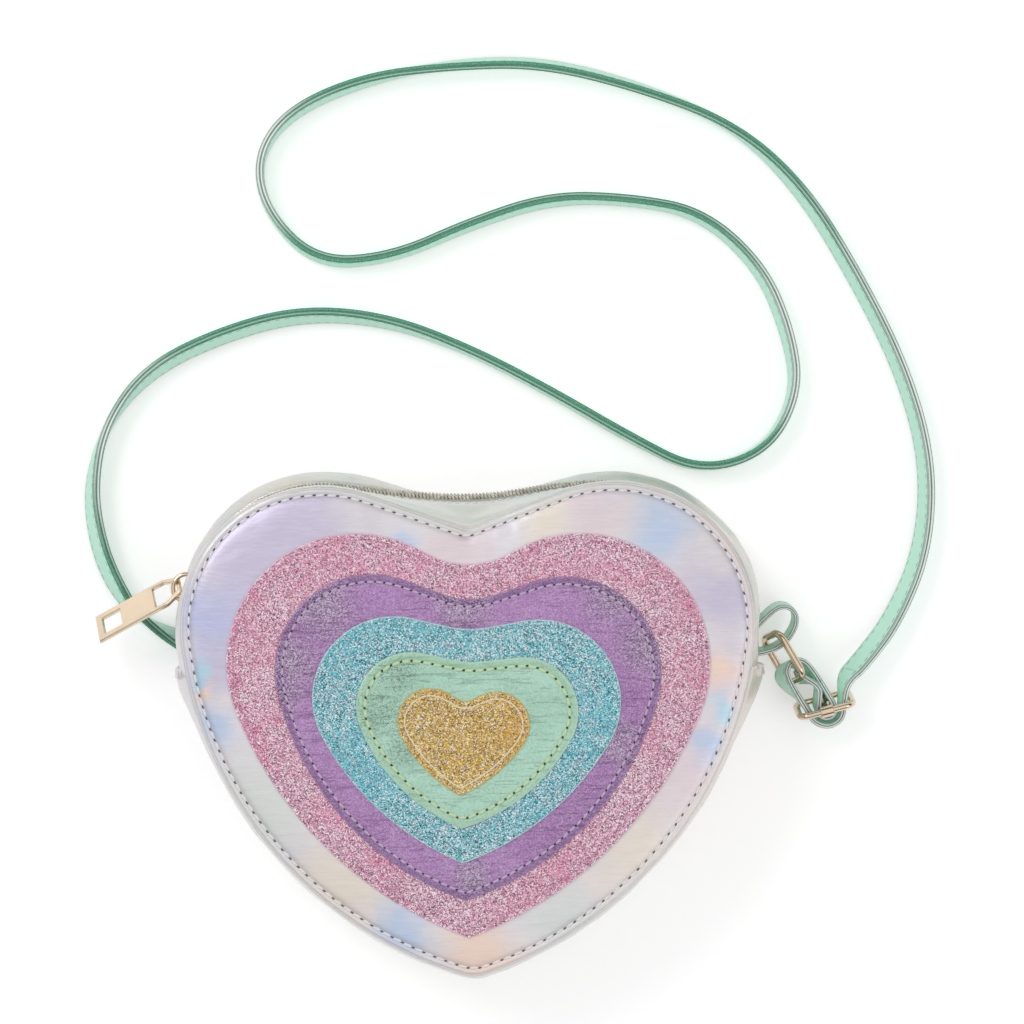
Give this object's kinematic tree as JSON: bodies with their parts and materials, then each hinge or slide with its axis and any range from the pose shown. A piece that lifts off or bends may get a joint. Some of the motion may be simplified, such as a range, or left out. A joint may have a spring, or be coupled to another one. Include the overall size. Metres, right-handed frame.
{
  "type": "heart shaped purse",
  "caption": "Zipped heart shaped shoulder purse lying on its back, with concentric heart layers, a bulging gusset, a zip slider with its pull, and a strap on a ring with a slide adjuster.",
  "frame": {"origin": "middle of the back panel's outer face, on the heart's axis halfway between lobe tops and tip", "axes": "+Z out of the front panel, +Y from the heart's tip towards its zipped top, +X towards the side with the strap ring"},
  "size_m": [0.2684, 0.2966, 0.054],
  "materials": {
    "holographic_panel": "smooth foil with a rainbow sheen",
    "holographic_gusset": "smooth foil with a rainbow sheen",
    "pink_glitter": "coarse glitter",
    "purple_leather": "metallic, finely creased",
    "turquoise_glitter": "coarse glitter",
    "mint_leather": "metallic, finely creased",
    "gold_glitter": "coarse glitter",
    "foam": "soft board",
    "lining": "plain woven",
    "zip_tape": "woven",
    "zip_coil": "nylon",
    "pale_gold_metal": "polished plate",
    "mint_loop": "smooth, creased",
    "mint_strap": "smooth with dark green cut edges"
  },
  "bodies": {
    "bag": {"back_foam": "foam", "back_lining": "lining", "back_panel": "holographic_panel", "front_foam": "foam", "front_lining": "lining", "front_panel": "holographic_panel", "front_zip_coil": "zip_coil", "front_zip_gusset": "holographic_gusset", "front_zip_lining": "lining", "front_zip_tape": "zip_tape", "gold_heart": "gold_glitter", "left_seam_tab": "holographic_gusset", "left_zip_stop": "pale_gold_metal", "lower_gusset": "holographic_gusset", "lower_lining": "lining", "mint_heart": "mint_leather", "pink_heart": "pink_glitter", "purple_heart": "purple_leather", "rear_zip_coil": "zip_coil", "rear_zip_gusset": "holographic_gusset", "rear_zip_lining": "lining", "rear_zip_tape": "zip_tape", "right_seam_tab": "holographic_gusset", "right_zip_stop": "pale_gold_metal", "shoulder_strap": "mint_strap", "side_loop": "mint_loop", "turquoise_heart": "turquoise_glitter"},
    "slider": {"zip_slider": "pale_gold_metal"},
    "pull": {"zip_pull": "pale_gold_metal"},
    "ring": {"strap_ring": "pale_gold_metal", "strap_turn": "mint_strap"},
    "adjuster": {"adjuster_frame": "pale_gold_metal", "adjuster_bar": "pale_gold_metal", "strap_sewn_end": "mint_strap", "strap_wrap": "mint_strap"}
  },
  "joints": [
    {"name": "zip_slide", "type": "hinge", "parent": "bag", "child": "slider", "pos_m": [-0.0455, 0.0325, 0.0253], "axis": [0, 0, -1], "range_deg": [-24, 74]},
    {"name": "pull_swing", "type": "hinge", "parent": "slider", "child": "pull", "pos_m": [-0.09148, 0.04629, 0.0253], "axis": [-0.1784, 0.6906, -0.7009], "range_deg": [0, 45]},
    {"name": "ring_swing", "type": "hinge", "parent": "bag", "child": "ring", "pos_m": [0.0964, 0.0268, 0.0084], "axis": [0.3544, 0.1997, 0.9135], "range_deg": [-20, 0], "deforming": ["shoulder_strap"]},
    {"name": "adjuster_slide", "type": "slide", "parent": "ring", "child": "adjuster", "axis": [0.4909, -0.8712, 0], "range_m": [0, 0.012]}
  ]
}
